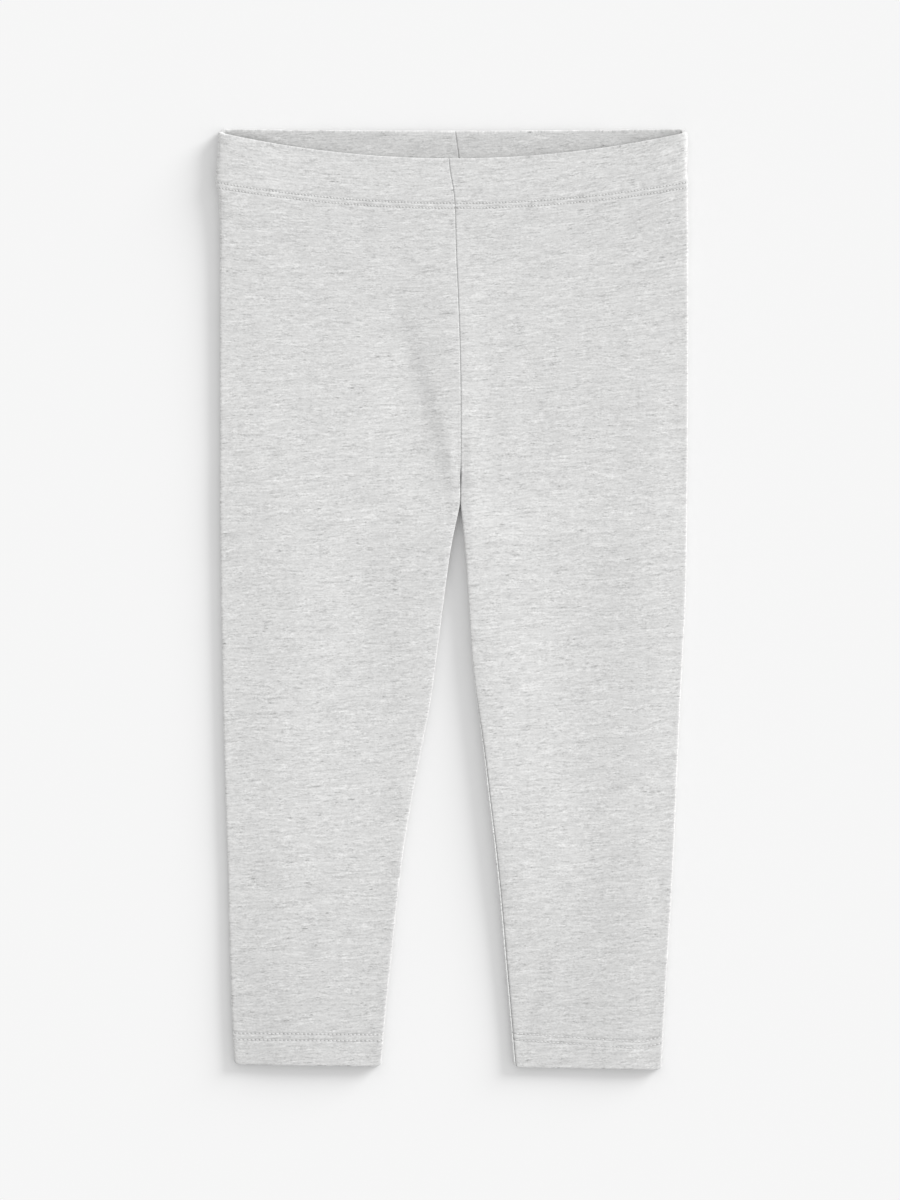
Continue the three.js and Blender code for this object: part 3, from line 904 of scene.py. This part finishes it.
def jersey_material():
    material, tree = new_material("jersey")
    cloth = add_node(tree, "ShaderNodeAttribute", attribute_name="cloth").outputs["Vector"]
    warp_map = add_node(tree, "ShaderNodeMapping", {
        "Vector": cloth,
        "Scale": (WARP_SIZE[0] * MM, WARP_SIZE[1] * MM, 1),
    }, vector_type="TEXTURE")
    warp = add_node(tree, "ShaderNodeTexNoise",
                    {"Vector": warp_map.outputs[0], "Scale": 1.0, "Detail": 1.0})
    height = WARP_HEIGHT * MM
    shift = calculate(tree, "MULTIPLY_ADD", warp.outputs[0], height, -height / 2)
    shift = add_node(tree, "ShaderNodeCombineXYZ", {"Y": shift}).outputs[0]
    cloth = add_node(tree, "ShaderNodeVectorMath", {0: cloth, 1: shift}, operation="ADD").outputs[0]

    marl = 0.0
    for layer in MARL:
        noise = streaks(tree, cloth, layer["length"], layer["width"], layer["tilt"])
        marl = calculate(tree, "MULTIPLY_ADD", noise, layer["strength"], marl)
    for layer in FLECKS:
        fleck = streaks(tree, cloth, layer["length"], layer["width"], layer["tilt"], detail=3.0)
        fleck = calculate(tree, "SUBTRACT", fleck, layer["threshold"])
        fleck = calculate(tree, "MAXIMUM", fleck, 0.0)
        marl = calculate(tree, "MULTIPLY_ADD", fleck, -layer["strength"], marl)
    patch = calculate(tree, "MULTIPLY_ADD", streaks(tree, cloth, *PATCH_SIZE, 0), PATCHES, 1.0)
    marl = calculate(tree, "MULTIPLY_ADD", marl, patch, 1.0)

    # Places beside the stitch rows, for the painted shade at the needle holes
    stitch_places = add_node(tree, "ShaderNodeAttribute", attribute_name="stitch_places").outputs["Vector"]
    stitch_places = add_node(tree, "ShaderNodeSeparateXYZ", {0: stitch_places}).outputs
    waist = twin_row_dots(tree, stitch_places["X"], stitch_places["Y"], WAIST_SPACING, WAIST_PITCH)
    hem = twin_row_dots(tree, stitch_places["X"], stitch_places["Z"], HEM_SPACING, HEM_PITCH)
    holes = calculate(tree, "ADD", waist, hem)
    # Brightness: the marl's own tone, lessened by painted shade at the needle holes, by the painted
    # shade stored on the cloth and on the lower legs
    shade = calculate(tree, "MULTIPLY_ADD", holes, -NEEDLE_HOLE_SHADE, marl)
    painted = add_node(tree, "ShaderNodeAttribute", attribute_name="shade").outputs["Fac"]
    shade = calculate(tree, "MULTIPLY", shade, calculate(tree, "SUBTRACT", 1.0, painted))
    # Painted shade that darkens the lower legs a little
    low = add_node(tree, "ShaderNodeMapRange", {
        "Value": add_node(tree, "ShaderNodeSeparateXYZ", {0: cloth}).outputs["Y"],
        "From Min": LOW_LEVELS[0] * MM,
        "From Max": LOW_LEVELS[1] * MM,
        "To Min": 1.0,
        "To Max": 1 - LOW_SHADE,
    }).outputs[0]
    shade = calculate(tree, "MULTIPLY", shade, low)
    grey = add_node(tree, "ShaderNodeVectorMath", {0: JERSEY_GREY, "Scale": shade},
                    operation="SCALE")
    bump = add_node(tree, "ShaderNodeBump", {
        "Height": streaks(tree, cloth, *NAP_SIZE, 0),
        "Strength": NAP_STRENGTH,
        "Distance": NAP_DEPTH * MM,
    })
    surface = add_node(tree, "ShaderNodeBsdfPrincipled", {
        "Base Color": grey.outputs[0],
        "Roughness": 0.95,
        "Specular IOR Level": 0.15,
        "Sheen Weight": 0.2,
        "Sheen Roughness": 0.5,
        "Normal": bump.outputs[0],
    })
    add_node(tree, "ShaderNodeOutputMaterial", {"Surface": surface.outputs[0]})
    return material


def thread_material():
    material, tree = new_material("thread")
    surface = add_node(tree, "ShaderNodeBsdfPrincipled", {
        "Base Color": (*THREAD_GREY, 1),
        "Roughness": 0.8,
        "Specular IOR Level": 0.2,
    })
    add_node(tree, "ShaderNodeOutputMaterial", {"Surface": surface.outputs[0]})
    return material


# Pale ground, which glows a little so that shadows stay as light as in the photo
GROUND_SIZE = 6.0
GROUND_GREY = 0.842
GROUND_GLOW = 0.08
CONTACT_REACH = 25.0  # mm over which painted contact shade darkens the ground towards what lies on it
CONTACT_SHADE = 0.12
GROUND_LEVEL = -0.1  # just clear of the cloth


def lay_ground():
    material, tree = new_material("ground")
    # Painted contact shade: the ground's colour and its glow both lessen where the cloth hides the
    # sky
    open_sky = add_node(tree, "ShaderNodeAmbientOcclusion", {"Distance": CONTACT_REACH * MM})
    share = calculate(tree, "MULTIPLY_ADD", open_sky.outputs["AO"], CONTACT_SHADE,
                      1 - CONTACT_SHADE)
    grey = add_node(tree, "ShaderNodeVectorMath", {0: (GROUND_GREY,) * 3, "Scale": share},
                    operation="SCALE")
    diffuse = add_node(tree, "ShaderNodeBsdfDiffuse", {"Color": grey.outputs[0]})
    glow = calculate(tree, "MULTIPLY", open_sky.outputs["AO"], GROUND_GLOW)
    glow = add_node(tree, "ShaderNodeEmission", {"Color": (1, 1, 1, 1), "Strength": glow})
    both = add_node(tree, "ShaderNodeAddShader", {0: diffuse.outputs[0], 1: glow.outputs[0]})
    add_node(tree, "ShaderNodeOutputMaterial", {"Surface": both.outputs[0]})
    bpy.ops.mesh.primitive_plane_add(size=GROUND_SIZE, location=(0, 0, GROUND_LEVEL * MM))
    ground = bpy.context.object
    ground.name = "ground"
    ground.data.materials.append(material)
    return ground


# Light from the upper right, and an even glow from all round
SUN_STRENGTH = 2.83
SUN_AZIMUTH = 38  # degrees above the wearer's left
SUN_HEIGHT = 18
SUN_ANGLE = 30
SKY_STRENGTH = 0.725


def light_scene():
    sun = bpy.data.lights.new("sun", "SUN")
    sun.energy = SUN_STRENGTH
    sun.angle = math.radians(SUN_ANGLE)
    lamp = bpy.data.objects.new("sun", sun)
    lamp.rotation_euler = (math.radians(90 - SUN_HEIGHT), 0, math.radians(90 + SUN_AZIMUTH))
    bpy.context.collection.objects.link(lamp)
    world = bpy.data.worlds.new("sky")
    world.use_nodes = True
    world.node_tree.nodes["Background"].inputs["Color"].default_value = (1, 1, 1, 1)
    world.node_tree.nodes["Background"].inputs["Strength"].default_value = SKY_STRENGTH
    bpy.context.scene.world = world
    return lamp


# The photo's frame is 432 by 576 mm
CAMERA_HEIGHT = 3.0
CAMERA_LENS = 187.5
CAMERA_CENTRE = (-0.84, -0.36)


def place_camera():
    data = bpy.data.cameras.new("camera")
    data.lens = CAMERA_LENS
    data.sensor_width = 36
    data.clip_end = 20
    camera = bpy.data.objects.new("camera", data)
    camera.location = (CAMERA_CENTRE[0] * MM, CAMERA_CENTRE[1] * MM, CAMERA_HEIGHT)
    bpy.context.collection.objects.link(camera)
    bpy.context.scene.camera = camera
    return camera


jersey = jersey_material()
thread = thread_material()
for leg in LEGS:
    name = leg["name"]
    cloth = leg_cloth(leg)
    cloth.data.materials.append(jersey)
    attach(cloth, "root")
    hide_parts(f"leg_{name}", f"casing_{name}", f"hem_{name}")
    waist_rows = [WAIST_ROW, WAIST_ROW + WAIST_SPACING]
    hem_rows = [hem_row_down(leg, 0), hem_row_down(leg, 1)]
    for label, rows, pitch in (("waist_stitches", waist_rows, WAIST_PITCH),
                               ("hem_stitches", hem_rows, HEM_PITCH)):
        stitches = stitching(label, leg, rows, pitch)
        stitches.data.materials.append(thread)
        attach(stitches, "root")

ground = lay_ground()
lamp = light_scene()
camera = place_camera()
bpy.context.scene.view_settings.view_transform = "Standard"
